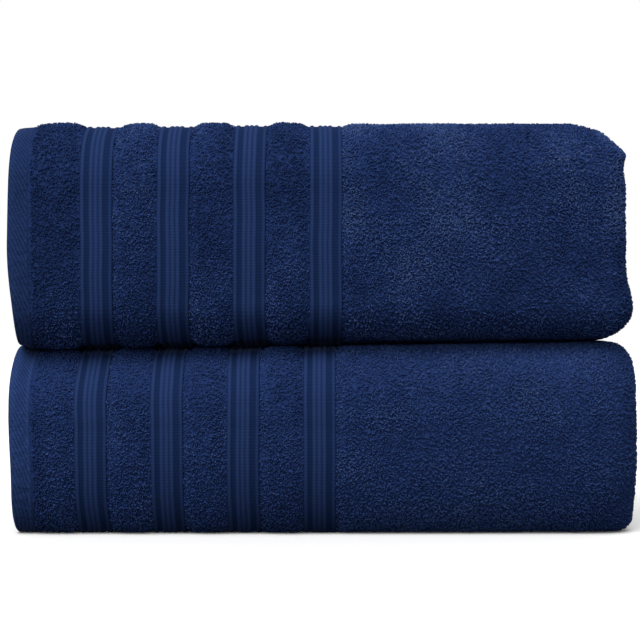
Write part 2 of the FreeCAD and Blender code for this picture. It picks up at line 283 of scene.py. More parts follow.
    def sagged(self, x, y, z, rise, at_hem):
        """Heights once a free top has drooped at its ends and the towels have met on a slope."""
        fold_droop, hem_droop = 6.0 * MM, 1.3 * MM
        open_top = 0.0 if self.carries else ramp(rise, 0.55, 1.0)
        at_end = ramp(x, self.fold_line - 17 * MM, self.right)
        free = 4 * rise * (1 - rise)
        z = z - fold_droop * at_end * open_top - hem_droop * at_hem * open_top
        z = z + 1.1 * MM * smooth_noise(x, y, 65 * MM, self.seed + 1) * free
        z = z + 0.8 * MM * smooth_noise(x, y, 42 * MM, self.seed + 2) * open_top
        return z + (self.meets(x) - self.meeting) * (rise if self.carries else 1 - rise)

    def parted(self, x, y, z, rise, near_end, at_hem):
        """The fronts curved apart, above and below the line where the towels meet.

        The lower towel's front also goes back at its fold end, and the upper's hem end leans in.
        """
        lip_reach, end_depth, hem_lean = 34 * MM, 8 * MM, 3.0 * MM
        fold_side = ramp(x, -150 * MM, 40 * MM)
        lip = np.exp(-(((y - self.front) / lip_reach) ** 2)) * (1 - 0.5 * near_end)
        lip = lip * ramp(x, self.left + 3 * MM, self.left + 20 * MM)
        if self.carries:
            z = z - (3.2 - fold_side) * MM * lip * ramp(rise, 0.6, 1.0)
            rounded = np.clip((x - self.fold_line + 16 * MM) / (24 * MM), 0, 1.2)
            y = y + end_depth * rounded ** 2 * (1 - ramp(y, -80 * MM, 0.0))
        else:
            z = z + (2.0 + 2.4 * fold_side) * MM * lip * (1 - ramp(rise, 0.0, 0.32))
            x = x + hem_lean * at_hem * np.exp(-((rise / 0.2) ** 2))
        return x, y, z

    def uneven(self, x, y, z, rise):
        """Hills and hollows on the ends and the front, and loose edges at the back."""
        x = x + 1.0 * MM * smooth_noise(y, z, 34 * MM, self.seed + 3) * ramp(abs(x), 0.10, 0.17)
        slack = ramp(-(y - self.front), -0.11, -0.02)
        y = y + 1.5 * MM * smooth_noise(x, z, 70 * MM, self.seed) * slack
        loose = ramp(y, self.back - 60 * MM, self.back)
        free = 4 * rise * (1 - rise)
        z = z + 1.6 * MM * smooth_noise(x, z, 33 * MM, self.seed + 4) * loose * free
        y = y + 1.8 * MM * smooth_noise(x, z, 45 * MM, self.seed + 6) * loose
        return x, y, z

    def end_lean(self, rise):
        """How far the fold end stands out at a height: pressed out low down, with a knee above."""

        def swell(amount, at, width):
            return amount * MM * np.exp(-(((rise - at) / width) ** 2))

        if self.carries:
            return 3.1 * MM + swell(1.0, 0.42, 0.3) + swell(3.6, 0.0, 0.1)
        knee = swell(2.4, 0.89, 0.04) - swell(0.8, 0.79, 0.05)
        return 0.5 * MM + swell(5.2, 0.11, 0.13) + knee

    def crease(self, x, y, z):
        """How much further back the front lies by the crease between the towels, at the hem end."""
        depth, spread = (6 * MM, 25 * MM) if self.carries else (5 * MM, 21 * MM)
        hem_side = 1 - ramp(x, -130 * MM, 10 * MM)
        front = 1 - ramp(y, -80 * MM, 0.0)
        return depth * np.exp(-(((z - self.meets(x)) / spread) ** 2)) * hem_side * front

    def meets(self, x):
        """Height of the face between the two towels at x."""
        share = (x - self.left) / (self.right - self.left)
        corner = 2.8 * MM * (1 - ramp(x, self.left + 3 * MM, self.left + 11 * MM))
        return self.meeting + MEETING_AT_HEM * (1 - share) + MEETING_AT_FOLD * share + corner

    def pressed(self, v, further=0.0):
        """1 where this towel is pressed against the other or the floor, 0 where it is free.

        The pile is free at the front, where the towels curve apart; a hem touches further out.
        """
        starts = self.v_after["chin"] + (-12 * MM if self.carries else 8 * MM - further)
        under = ramp(v, starts, starts + 18 * MM)
        back = self.v_after["bottom"]
        under = under * (1 - ramp(v, back - 6 * MM, back + 8 * MM))
        if not self.carries:
            return under
        ends = self.v_after["top"] - 10 * MM + further
        return under + 1 - ramp(v, ends - 18 * MM, ends)

    def relief(self, x, v):
        """How far the pile's tips stand past the skin: bands swell, and borders lie low."""
        lift = np.full_like(np.asarray(x, float), PUFF * 0.4)
        for start, end in self.borders:
            near = np.maximum(start - x, x - end)
            lift = lift - (BORDER_SINK * 0.5 + PUFF * 0.8) * (1 - ramp(near, -0.5 * MM, 6.5 * MM))
        edges = [self.left + self.hem_width, *(e for pair in self.borders for e in pair)]
        for start, end in zip(edges[0::2], edges[1::2]):
            middle, half = (start + end) / 2, (end - start) / 2
            lift = lift + PUFF * np.clip(1 - ((x - middle) / half) ** 2, 0, None)
        pressed = self.pressed(v)
        return lift * (1 - pressed) + SQUEEZE * pressed

    def beside_border(self, x):
        """1 at the edge of a border, falling to 0 a little way off."""
        near = np.min([abs(x - edge) for pair in self.borders for edge in pair], axis=0)
        return 1 - ramp(near, 0.8 * MM, 5.5 * MM)

    def beside_hem(self, x):
        """1 at the end hem's inner edge, falling to 0 over the first part of the pile, where
        painted shade darkens the pile.
        """
        return 1 - ramp(x, self.left + self.hem_width, self.left + self.hem_width + 11 * MM)

    def kept_apart(self, points):
        """Points held clear of the other towel and of the floor."""
        z = points[..., 2]
        face = self.meets(points[..., 0])
        if self.carries:
            z = np.clip(z, self.base + CLEARANCE, face - CLEARANCE)
        else:
            z = np.maximum(z, face + CLEARANCE)
        return np.stack([points[..., 0], points[..., 1], z], -1)

    def in_border(self, x, margin=0.0):
        """Whether x lies in one of the borders, or within a margin of it."""
        return sum((x > a - margin) & (x < b + margin) for a, b in self.borders) > 0


# ---------------------------------------------------------------- the cloth's lines and faces


def along(start, end, step):
    """Even steps from start to end, both of them included."""
    return np.linspace(start, end, max(2, round(abs(end - start) / step) + 1))


def cloth_line(towel, from_end):
    """The cloth's line from one end hem to the other, looking along the strip.

    It starts and stops at a distance from the cloth's ends.  Each row is x, depth, and the way
    the cloth's first face looks, as x and depth.
    """
    t, fold = towel.layer, towel.fold_line
    start = towel.left + from_end
    finish = towel.inner_left + from_end
    sweep = np.linspace(math.pi / 2, -math.pi / 2, 13)[1:-1]
    rows = []

    def layer(a, b, depth, looks, step):
        x = along(a, b, step)
        rows.append(np.stack([x, 0 * x + depth * t, 0 * x, 0 * x + looks], -1))

    def fold_over(centre_x, centre, radius, side, looks):
        """A half turn; side is +1 at the right end and -1 at the left, and looks is +1 outwards."""
        across, down = side * np.cos(sweep), -np.sin(sweep)
        if radius < 0:
            down = -down
        r = abs(radius) * t
        rows.append(np.stack([centre_x + r * across, centre * t + r * down,
                              looks * across, looks * down], -1))

    layer(start, fold, 0.5, -1, 2.2 * MM)
    fold_over(fold, 2, 1.5, 1, 1)
    layer(fold, towel.left_fold, 3.5, 1, 7 * MM)
    fold_over(towel.left_fold, 3, -0.5, -1, 1)
    layer(towel.left_fold, fold, 2.5, -1, 7 * MM)
    fold_over(fold, 2, -0.5, 1, -1)
    layer(fold, finish, 1.5, 1, 7 * MM)
    return np.concatenate(rows)


def outer_reach(towel, x, depth, look_down, v):
    """How far the cloth's first face stands off its middle line, over the whole sheet.

    It follows the bands and borders, comes out to the pile's tips where it is pressed, and
    inside the bundle it meets the cloth that it faces.
    """
    half = towel.layer / 2 - CLOTH_SINK
    outside = (look_down < 0) & (depth < 0.6 * towel.layer)
    reach = half + np.where(outside, towel.relief(x, v), 0)
    in_border = towel.in_border(x, 1 * MM) & outside
    reach = np.where(in_border, np.minimum(reach, half), reach)
    packed = (0.5 + 0.8 * ramp(x, towel.fold_line - 24 * MM, towel.fold_line - 4 * MM)) * MM
    reach = reach + np.where(outside, packed * towel.pressed(v, 12 * MM), 0)
    touching = (towel.layer + towel.slit) / 2 - 0.4 * MM
    tucked_in = outside & (v > towel.v_after["turn"] + 8 * MM)
    innermost = (look_down > 0) & (depth > 3.4 * towel.layer)
    return np.where(tucked_in | innermost, touching, reach)


def make_cloth(towel, material):
    """The whole sheet of ground cloth, folded, as one closed skin of two faces."""
    x, depth, look_x, look_down = cloth_line(towel, towel.hem_width - 1.5 * MM).T
    margin = towel.side_hem_width - 1.5 * MM
    v = along(margin, towel.v_end - margin, 4 * MM)[:, None]
    first = outer_reach(towel, x, depth, look_down, v)
    second = np.full_like(first, towel.layer / 2 - CLOTH_SINK)
    rough = 0.35 * MM * smooth_noise(x[None], v, 6 * MM, towel.seed + 5)
    faces = []
    for side, thick in ((1, first), (-1, second)):
        reach = thick + rough
        face = towel.place(x[None] + side * look_x * reach,
                           depth[None] + side * look_down * reach, v)
        faces.append(towel.kept_apart(face))
    points, quads = closed_slab(*faces)
    return make_piece(
        f"{towel.name}_ground_cloth", points, facing_out(points, quads), material, towel,
        ("terry_field", "inner_terry_field", "inner_terry_bands", "inner_dobby_borders",
         "terry_layer_3", "terry_layer_4", "inner_end_fold"))


class Face:
    """A level face of the cloth that pile stands on: u is x on it, and v runs along the strip."""

    is_level = True

    def __init__(self, towel, u_range, v_range):
        self.towel, self.u_range, self.v_range = towel, u_range, v_range

    def line(self, u, v):
        """x, depth and outward direction at u and v."""
        lift = self.towel.relief(u, v)
        return u, -lift, np.zeros_like(u), -np.ones_like(u)

    def point(self, u, v, lift):
        x, depth, out_x, out_down = self.line(u, v)
        return self.towel.place(x + out_x * lift, depth + out_down * lift, v)

    def frames(self, u, v):
        """Points on the face with the directions along u, along v and straight out."""
        step = 0.2 * MM
        at = self.point(u, v, 0.0)
        along_u = self.point(u + step, v, 0.0) - at
        along_v = self.point(u, v + step, 0.0) - at
        out = self.point(u, v, step) - at
        normal = np.cross(along_u, along_v)
        normal *= np.sign((normal * out).sum(-1, keepdims=True))
        return at, unit(along_u), unit(along_v), unit(normal)


class FoldFace(Face):
    """The rounded outside of a lengthwise fold; u is an angle in radians times the radius."""

    is_level = False

    def __init__(self, towel, centre_x, centre, radius, side, u_range, v_range):
        super().__init__(towel, u_range, v_range)
        self.centre_x, self.centre, self.radius, self.side = centre_x, centre, radius, side

    def line(self, u, v):
        angle = u / self.radius
        out_x, out_down = self.side * np.cos(angle), -np.sin(angle)
        return (self.centre_x + self.radius * out_x, self.centre + self.radius * out_down,
                out_x, out_down)


def unit(vectors):
    return vectors / np.maximum(np.linalg.norm(vectors, axis=-1, keepdims=True), 1e-12)


def scattered(face, pitch, rng):
    """Places spread evenly but not in rows: one in each cell of a grid, off its middle."""
    (u0, u1), (v0, v1) = face.u_range, face.v_range
    u = np.arange(u0, u1, pitch)
    v = np.arange(v0, v1, pitch)
    u, v = np.meshgrid(u, v)
    u = u + pitch * rng.uniform(0, 1, u.shape)
    v = v + pitch * rng.uniform(0, 1, v.shape)
    return u.ravel(), v.ravel()


def loop_lines(face, u, v, coarse, rng):
    """The middle lines of the yarn in a loop at each u and v, and the way each loop stands."""
    towel = face.towel
    count = len(u)
    at, along_u, along_v, out = face.frames(u, v)
    heading = rng.uniform(-math.pi / 2, math.pi / 2, count)
    tilt = rng.normal(0, 0.5, count) + 0.55 * smooth_noise(u, v, 7 * MM, towel.seed + 71)
    tilt += 0.4 * smooth_noise(u, v, 36 * MM, towel.seed + 70)
    span = rng.uniform(1.1, 2.0, count) * MM * coarse ** 0.8
    height = rng.uniform(1.35, 2.15, count) * MM
    height = height * (1 + 0.15 * pile_patches(towel, u, v))
    if face.is_level:
        height = height * (1 - 0.12 * towel.beside_border(u)) * (1 - 0.25 * towel.pressed(v))
    skew = rng.normal(0, 0.25, count)
    ahead = np.cos(heading)[:, None] * along_u + np.sin(heading)[:, None] * along_v
    aside = np.cross(out, ahead)
    up = np.cos(tilt)[:, None] * out + np.sin(tilt)[:, None] * aside
    base = at - (CLOTH_SINK + 0.4 * MM) * out
    rings = []
    for angle in LOOP_ANGLES:
        forward = -np.cos(angle) * span / 2 + skew * np.sin(angle) * span / 2
        rise = np.sin(angle) * height
        rings.append(base + forward[:, None] * ahead + rise[:, None] * up)
    return np.stack(rings, 1), up


def round_yarn(lines, up, radius):
    """Points round lines of yarn: for each loop, its rings, and the points of each ring."""
    tangent = unit(np.gradient(lines, axis=1))
    side = unit(np.cross(tangent, up[:, None]) + 1e-9)
    normal = np.cross(side, tangent)
    points = []
    for k in range(YARN_SIDES):
        angle = 2 * math.pi * k / YARN_SIDES + math.pi / 2
        points.append(lines + radius * (math.cos(angle) * side + math.sin(angle) * normal))
    return np.stack(points, 2)


def pile_patches(towel, u, v):
    """Small patches where the pile stands higher and lighter, or lower and darker."""
    return smooth_noise(u, v, 12 * MM, towel.seed + 72)


def loop_tones(face, u, v, rng):
    """The tone of each point of each loop: painted shade low in each loop and lighter at its top,
    painted shade and light beside the hem and the borders, and patches as it is brushed.
    """
    towel = face.towel
    count = len(u)
    brushed = smooth_noise(u + 0.4 * v, v, 36 * MM, towel.seed + 73)
    brushed = brushed + 0.7 * smooth_noise(u, v - 0.3 * u, 17 * MM, towel.seed + 74)
    # painted shade: the pile darker beside the end hem; painted light: lighter beside the borders,
    # where it shades itself less
    beside = -0.2 * towel.beside_hem(u)
    if face.is_level:
        beside = beside + 0.05 * towel.beside_border(u)
    beside = beside - (u < towel.borders[-1][0]) * towel.band_shade
    own = rng.normal(0, 0.1 + 0.07 * towel.brushing, count)
    own = own + 0.08 * pile_patches(towel, u, v) + 0.32 * brushed * towel.brushing + beside
    # painted shade: each loop darker towards its feet and lighter at its top; contrast sets how
    # strong it is
    lit = np.sin(LOOP_ANGLES)[None, :, None] * np.ones((count, 1, YARN_SIDES))
    contrast = 0.34 + 0.12 * towel.brushing
    return np.clip(0.40 + contrast * (lit - 0.45) + own[:, None, None], 0, 1)


def pile_mesh(face, pitch, seed):
    """Loops of yarn that stand and lean on a face: points, quads and a tone for each point."""
    rng = np.random.default_rng(seed)
    u, v = scattered(face, pitch, rng)
    if face.is_level:
        keep = ~face.towel.in_border(u, -0.6 * MM)
        u, v = u[keep], v[keep]
    count = len(u)
    coarse = pitch / FINE_PITCH
    lines, up = loop_lines(face, u, v, coarse, rng)
    radius = YARN * coarse ** 0.6 * rng.uniform(0.8, 1.2, count)[:, None, None]
    points = face.towel.kept_apart(round_yarn(lines, up, radius))
    quads = repeated_tubes(count, LOOP_STEPS + 1, YARN_SIDES)
    return points.reshape(-1, 3), quads, loop_tones(face, u, v, rng).ravel()


def make_pile(towel, name, face, material, pitch, nodes=(), seed=0):
    """Pile over a face, in as many pieces as its loops call for, side by side along v."""
    (u0, u1), (v0, v1) = face.u_range, face.v_range
    parts = math.ceil((u1 - u0) * (v1 - v0) / pitch ** 2 / MOST_LOOPS)
    cuts = np.linspace(v0, v1, parts + 1)
    pieces = []
    for number, v_range in enumerate(zip(cuts, cuts[1:])):
        face.v_range = v_range
        points, quads, tone = pile_mesh(face, pitch, towel.seed * 301 + seed * 7 + number)
        suffix = f"_{number + 1}" if parts > 1 else ""
        pieces.append(make_piece(f"{towel.name}_{name}{suffix}", points, quads, material, towel,
                                 nodes, tone=tone))
    return pieces


def make_level_pile(towel, material, front, under):
    """The pile of the terry bands and field, in one zone after another along the strip."""
    after = towel.v_after
    zones = (
        ("top", towel.side_hem_width, front, COARSE_PITCH if towel.carries else PLAIN_PITCH),
        ("front", front, under, FINE_PITCH),
        ("under", under, after["bottom"], COARSE_PITCH),
        ("back", after["bottom"], after["turn"] + 6 * MM, PLAIN_PITCH),
    )
    starts = [towel.left + towel.hem_width, *(end - LAP for _, end in towel.borders)]
    ends = [*(start + LAP for start, _ in towel.borders), towel.fold_line]
    pieces = []
    for zone, (place, v0, v1, pitch) in enumerate(zones):
        for number, (start, end) in enumerate(zip(starts, ends), start=1):
            is_field = number > BORDERS
            name = "terry_field" if is_field else f"terry_band_{number}"
            face = Face(towel, (start, end), (v0, v1))
            pieces += make_pile(towel, f"{name}_{place}_pile", face, material, pitch,
                                () if is_field else (name,), zone * 10 + number)
    return pieces


def make_fold_pile(towel, name, sizes, stretches, material):
    """The pile round a lengthwise fold; sizes are its centre's x and depth, its radius and side."""
    centre_x, centre, radius, side = sizes
    centre, radius = centre * towel.layer, radius * towel.layer
    reach = math.pi / 2 * radius
    pieces = []
    for place, v0, v1, pitch, seed in stretches:
        face = FoldFace(towel, centre_x, centre, radius, side, (-reach, reach), (v0, v1))
        pieces += make_pile(towel, f"{name}_{place}_pile", face, material, pitch, (name,), seed)
    return pieces


def make_all_pile(towel, material):
    """The pile, in pieces that the borders and folds divide, wherever it can be seen."""
    front, under = towel.v_after["top"] - 6 * MM, towel.v_after["chin"] + 4 * MM
    first = towel.side_hem_width * 0.3
    last = towel.v_end - towel.side_hem_width * 0.3
    pieces = make_level_pile(towel, material, front, under)
    pieces += make_fold_pile(
        towel, "outer_end_fold", (towel.fold_line, 2, 2, 1),
        (("top", first, front, PLAIN_PITCH, 50), ("front", front, under, FINE_PITCH, 51),
         ("back", under, last, PLAIN_PITCH, 52)), material)
    pieces += make_fold_pile(
        towel, "hem_end_fold", (towel.left_fold, 3, 1, -1),
        (("whole", first, last, PLAIN_PITCH, 60),), material)
    return pieces


# ---------------------------------------------------------------- borders, hems and stitches


def border_profile(width):
    """A border's cross-section: how high its face stands over its ground, across its width."""
    across = np.linspace(0, width, 74)
    height = np.zeros_like(across)

    def cord(centre, half, tall):
        inside = np.clip(1 - ((across - centre) / half) ** 2, 0, None)
        return tall * np.sqrt(inside)

    bed = 0.24 * MM * np.exp(-(((across - width / 2) / (3.9 * MM)) ** 6))
    for step in (-1, 0, 1):
        centre = width / 2 + step * CORD_PITCH
        height = np.maximum(height, cord(centre, 1.3 * MM, 0.78 * MM))
    height = np.maximum(height, bed)
    height += cord(1.5 * MM, 1.25 * MM, 0.72 * MM)
    height += cord(width - 1.1 * MM, 1.1 * MM, 0.55 * MM)
    return across, height


def make_border(towel, number, material):
    """A dobby border, from the side hem round the front and the back to where it is tucked in."""
    start, end = towel.borders[number - 1]
    across, height = border_profile(end - start)
    v = along(towel.side_hem_width * 0.8, towel.v_after["turn"] + 8 * MM, 1.6 * MM)[:, None]
    wobble = 0.3 * MM * smooth_noise(v, 0 * v, 16 * MM, towel.seed + number)
    x = start + across[None] + wobble
    pulse = 1 + 0.12 * smooth_noise(v, across[None] * 3, 2.2 * MM, towel.seed + 40 + number)
    pressed = towel.pressed(v)
    sink = (BORDER_SINK - towel.relief(x, v) * 0.25) * (1 - pressed) - SQUEEZE * pressed
    top = towel.place(x, sink - height[None] * pulse, v)
    bottom = towel.place(x, sink + 1.5 * MM, v)
    points, quads = closed_slab(towel.kept_apart(top), bottom)
    # painted highlight and shade: the tone follows the cords' height, light on top and dark in the
    # grooves
    tone = np.tile(height / height.max(), (len(v), 1)).ravel()
    piece = make_piece(f"{towel.name}_border_{number}", points, facing_out(points, quads),
                       material, towel, (f"dobby_border_{number}",),
                       np.concatenate([tone, tone]))
    picks = np.tile(v / MM, (1, len(across))).ravel()
    piece.data.attributes.new("along", "FLOAT", "POINT").data.foreach_set(
        "value", np.concatenate([picks, picks]).astype(np.float32))
    return piece


def hem_section(width, thick):
    """A rolled hem's outline as across and up, in order: a flat loop with one round edge."""
    edge = thick / 2
    turn = np.linspace(math.pi / 2, 3 * math.pi / 2, 13)
    over, under = np.linspace(width, edge, 26)[:-1], np.linspace(edge, width, 12)[1:]
    across = np.concatenate([over, edge + edge * np.cos(turn), under])
    up = np.concatenate([np.full_like(over, edge), edge * np.sin(turn),
                         np.full_like(under, -edge)])
    seam = np.exp(-((across - (width - 1.1 * MM)) / (0.6 * MM)) ** 2)
    roll = np.exp(-((across - 2.6 * MM) / (0.7 * MM)) ** 2)
    ridge = np.exp(-((across - (width - SEAM_RIDGE)) / (0.8 * MM)) ** 2)
    up = np.where(up > 0, up - 0.55 * MM * seam - 0.22 * MM * roll + 0.3 * MM * ridge,
                  up + 0.3 * MM * seam)
    return across, up


def hem_painted_light(across, width, seam_ridge_highlight):
    """Painted light: a painted highlight on the rolled edge and on the ridge by the seam, and
    painted shade in the seam itself.
    """
    edge = 0.22 * np.exp(-((across / (4.5 * MM)) ** 2))
    ridge = seam_ridge_highlight * np.exp(-(((across - (width - SEAM_RIDGE)) / (0.9 * MM)) ** 2))
    seam = 0.30 * np.exp(-(((across - (width - 0.5 * MM)) / (0.7 * MM)) ** 2))
    return edge + ridge - seam


def end_caps(rows, columns):
    """Quads that close the first and the last outline of a long hem."""
    half = columns // 2
    caps = []
    for row in (0, rows - 1):
        ring = row * columns + np.arange(columns)
        there, back = ring[:half], ring[:-half - 1:-1]
        quads = np.stack([there[:-1], there[1:], back[1:], back[:-1]], -1)
        caps.append(quads if row else quads[:, ::-1])
    return caps


def hem_piece(towel, name, points, across, width, material):
    """A closed hem from its outlines, one after another."""
    rows, columns = points.shape[:2]
    quads = np.concatenate([grid_faces(rows, columns, wrap=True), *end_caps(rows, columns)])
    points = towel.kept_apart(points).reshape(-1, 3)
    # painted highlight on the rolled edge and the seam's ridge, and painted shade in the seam
    tone = np.tile(hem_painted_light(across, width, towel.seam_ridge_highlight), rows)
    return make_piece(f"{towel.name}_{name}_cloth", points, facing_out(points, quads), material,
                      towel, (name,), tone)


def make_end_hem(towel, name, left, middle, material, seed):
    """A rolled hem along an end of the towel, following the strip's whole course."""
    thick = towel.layer - 2 * HEM_SINK
    across, up = hem_section(towel.hem_width, thick)
    v = along(0, towel.v_end, 2.2 * MM)[:, None]
    wander = 1.1 * MM * smooth_noise(v, 0 * v, 45 * MM, seed)
    pinch = 1 + 0.12 * smooth_noise(v, across[None], 11 * MM, seed + 1)
    x = left + across[None] + wander * (1 - across[None] / towel.hem_width)
    outer = np.clip(up[None] / (0.3 * thick), 0, 1) * (middle < towel.layer)
    outer = outer * towel.pressed(v, 22 * MM)
    depth = middle - up[None] * pinch - (HEM_SINK + SQUEEZE) * outer
    points = towel.place(x, depth, v)
    return hem_piece(towel, name, points, across, towel.hem_width, material)


def make_side_hem(towel, name, v_edge, inwards, material):
    """The rolled hem of one long side of the towel, which goes round every fold with the cloth."""
    x, depth, look_x, look_down = cloth_line(towel, 1.5 * MM)[:, :, None].transpose(1, 0, 2)
    across, up = hem_section(towel.side_hem_width, towel.layer - 2 * HEM_SINK)
    steps = np.hypot(np.diff(x[:, 0]), np.diff(depth[:, 0]))
    run = np.concatenate([[0], np.cumsum(steps)])[:, None]
    seed = towel.seed * 7 + (inwards > 0)
    wander = 1.9 * MM * smooth_noise(run, 0 * run, 70 * MM, seed)
    wander = wander + 0.6 * MM * smooth_noise(run, 0 * run, 17 * MM, seed + 1)
    pinch = 1 + 0.16 * smooth_noise(run, across[None], 13 * MM, seed + 2)
    pinch = pinch + 0.12 * smooth_noise(run, across[None] * 2, 5 * MM, seed + 3)
    v = v_edge + inwards * (across[None] + wander * (1 - across[None] / towel.side_hem_width))
    v_kept = np.clip(v, 0, towel.v_end)
    points = towel.place(x + look_x * up[None] * pinch, depth + look_down * up[None] * pinch,
                         v_kept)
    points[..., 1] += abs(v - v_kept)
    return hem_piece(towel, name, points, across, towel.side_hem_width, material)


def stitch_mesh(starts, ends, lifts, radius):
    """A bead of thread for each stitch, dipping into the cloth at both ends."""
    steps = np.linspace(0, 1, 6)
    sides = np.linspace(0, 2 * math.pi, 6, endpoint=False)
    ahead = unit(ends - starts)
    out = unit(lifts)
    aside = np.cross(ahead, out)
    rings = []
    for step in steps:
        bow = math.sin(math.pi * step)
        centre = starts + (ends - starts) * step + out * radius * (1.5 * bow - 0.9)
        for angle in sides:
            wide = radius * (0.55 + 0.45 * bow)
            rings.append(centre + wide * (math.cos(angle) * out + math.sin(angle) * aside))
    points = np.stack(rings, 1)
    return points.reshape(-1, 3), repeated_tubes(len(starts), len(steps), len(sides))


def make_stitches(towel, material):
    """The lockstitch lines: along the end hem, and along the uppermost side hem."""
    pitch, length, radius = 3.1 * MM, 2.5 * MM, 0.3 * MM
    face_depth = HEM_SINK + 0.45 * MM
    hem_v = np.arange(towel.side_hem_width, towel.v_after["turn"], pitch)
    hem_x = towel.left + towel.hem_width - SEAM_RIDGE + 0 * hem_v
    side_x = np.arange(towel.left + 3 * MM, towel.fold_line, pitch)
    side_v = np.full_like(side_x, towel.side_hem_width - SEAM_RIDGE)
    pieces = []
    for name, x, v, end_x, end_v in (("end_hem", hem_x, hem_v, hem_x, hem_v + length),
                                     ("side_hem", side_x, side_v, side_x + length, side_v)):
        starts = towel.place(x, face_depth, v)
        ends = towel.place(end_x, face_depth, end_v)
        lifts = towel.place(x, face_depth - MM, v) - starts
        points, quads = stitch_mesh(starts, ends, lifts, radius)
        pieces.append(make_piece(f"{towel.name}_{name}_stitches", points, quads, material, towel,
                                 (f"{name}_thread",)))
    return pieces


# ---------------------------------------------------------------- materials


class Nodes:
    """Short ways to add and join shader nodes in one material."""

    def __init__(self, name):
        self.material = bpy.data.materials.new(name)
        self.material.use_nodes = True
        self.tree = self.material.node_tree
        self.shader = self.tree.nodes["Principled BSDF"]
        self.place = self.add("ShaderNodeTexCoord").outputs["Object"]

    def add(self, kind, **settings):
        node = self.tree.nodes.new(kind)
        for key, value in settings.items():
            setattr(node, key, value)
        return node

    def join(self, source, target):
        self.tree.links.new(source, target)

    def noise(self, scale, detail=2.0, roughness=0.5):
        node = self.add("ShaderNodeTexNoise")
        node.inputs["Scale"].default_value = scale
        node.inputs["Detail"].default_value = detail
        node.inputs["Roughness"].default_value = roughness
        self.join(self.place, node.inputs["Vector"])
        return node.outputs["Fac"]

    def attribute(self, name):
        return self.add("ShaderNodeAttribute", attribute_name=name).outputs["Fac"]

    def math(self, operation, a, b):
        node = self.add("ShaderNodeMath", operation=operation)
        for socket, value in zip(node.inputs, (a, b)):
            if isinstance(value, (int, float)):
                socket.default_value = value
            else:
                self.join(value, socket)
        return node.outputs["Value"]

    def ramp(self, factor, *stops):
        node = self.add("ShaderNodeValToRGB")
        elements = node.color_ramp.elements
        while len(elements) < len(stops):
            elements.new(0.5)
        for element, (position, colour) in zip(elements, stops):
            element.position = position
            element.color = (*colour, 1)
        self.join(factor, node.inputs["Fac"])
        return node.outputs["Color"]

    def between(self, factor, low, high):
        node = self.add("ShaderNodeMapRange")
        node.inputs["To Min"].default_value = low
        node.inputs["To Max"].default_value = high
        self.join(factor, node.inputs["Value"])
        return node.outputs["Result"]

    def bump(self, height, distance, strength=1.0):
        node = self.add("ShaderNodeBump")
        node.inputs["Distance"].default_value = distance
        node.inputs["Strength"].default_value = strength
        self.join(height, node.inputs["Height"])
        self.join(node.outputs["Normal"], self.shader.inputs["Normal"])

    def finish(self, colour, roughness, sheen):
        """Joins up the shader of a matt cloth and gives the material."""
        self.join(colour, self.shader.inputs["Base Color"])
        self.join(roughness, self.shader.inputs["Roughness"])
        self.shader.inputs["Specular IOR Level"].default_value = 0.0
        self.shader.inputs["Sheen Weight"].default_value = sheen
        self.shader.inputs["Sheen Roughness"].default_value = 0.35
        self.shader.inputs["Sheen Tint"].default_value = (*SHEEN_TINT, 1)
        return self.material


# NAVY_DEEP is painted shade down in the pile, NAVY_LIGHT painted light on the loops' tops
NAVY_DEEP = (0.0105, 0.023, 0.078)
NAVY = (0.0185, 0.041, 0.140)
NAVY_LIGHT = (0.045, 0.078, 0.190)
# GROUND_DARK and GROUND_LIGHT: painted shade, the ground cloth far darker than the yarn as the
# shade between the loops
GROUND_DARK = (0.0075, 0.016, 0.058)
GROUND_LIGHT = (0.016, 0.034, 0.115)
# WEAVE_DARK is painted shade in a border's grooves and a hem's seam, and the twill's dark;
# BORDER_LIGHT the painted highlight on cords
WEAVE_DARK = (0.0062, 0.0145, 0.050)
BORDER_LIGHT = (0.0146, 0.0300, 0.093)
TWILL_LIGHT = (0.0148, 0.0300, 0.092)
THREAD_DARK = (0.013, 0.026, 0.085)
THREAD_LIGHT = (0.032, 0.058, 0.155)
SHEEN_TINT = (0.35, 0.5, 1.0)
RIB_PITCH = 1.5  # millimetres between the ribs across a border's cords


def pile_material():
    """Cotton loops, with painted shade: darker down in the pile, lighter where the yarn turns over.
    """
    n = Nodes("terry_pile")
    patches = n.between(n.noise(26, 3), -0.20, 0.20)
    tone = n.math("ADD", n.attribute("tone"), patches)
    colour = n.ramp(tone, (0.05, NAVY_DEEP), (0.5, NAVY), (1.0, NAVY_LIGHT))
    n.bump(n.noise(3200, 2), 0.12 * MM, 0.6)
    return n.finish(colour, n.between(n.noise(900), 0.82, 0.98), 0.07)


def ground_material():
    """The ground weave under the pile, coloured dark as painted shade between the loops."""
    n = Nodes("ground_cloth")
    grain = n.noise(520, 3, 0.6)
    colour = n.ramp(grain, (0.3, GROUND_DARK), (0.8, GROUND_LIGHT))
    n.bump(grain, 1.1 * MM)
    return n.finish(colour, n.between(n.noise(700), 0.85, 0.98), 0.03)


def border_material():
    """Flat-woven cotton: fine ribs across each cord, with a painted highlight on the cords and
    painted shade in the grooves.
    """
    n = Nodes("border_weave")
    ribs = n.math("SINE", n.math("MULTIPLY", n.attribute("along"), 2 * math.pi / RIB_PITCH), 0.0)
    fine = n.noise(1100, 2)
    weave = n.math("ADD", n.math("MULTIPLY", ribs, 0.10), n.between(fine, -0.22, 0.22))
    tone = n.math("ADD", n.attribute("tone"), weave)
    colour = n.ramp(tone, (0.0, WEAVE_DARK), (1.0, BORDER_LIGHT))
    n.bump(weave, 0.35 * MM, 0.8)
    return n.finish(colour, n.between(n.noise(800), 0.8, 0.95), 0.06)


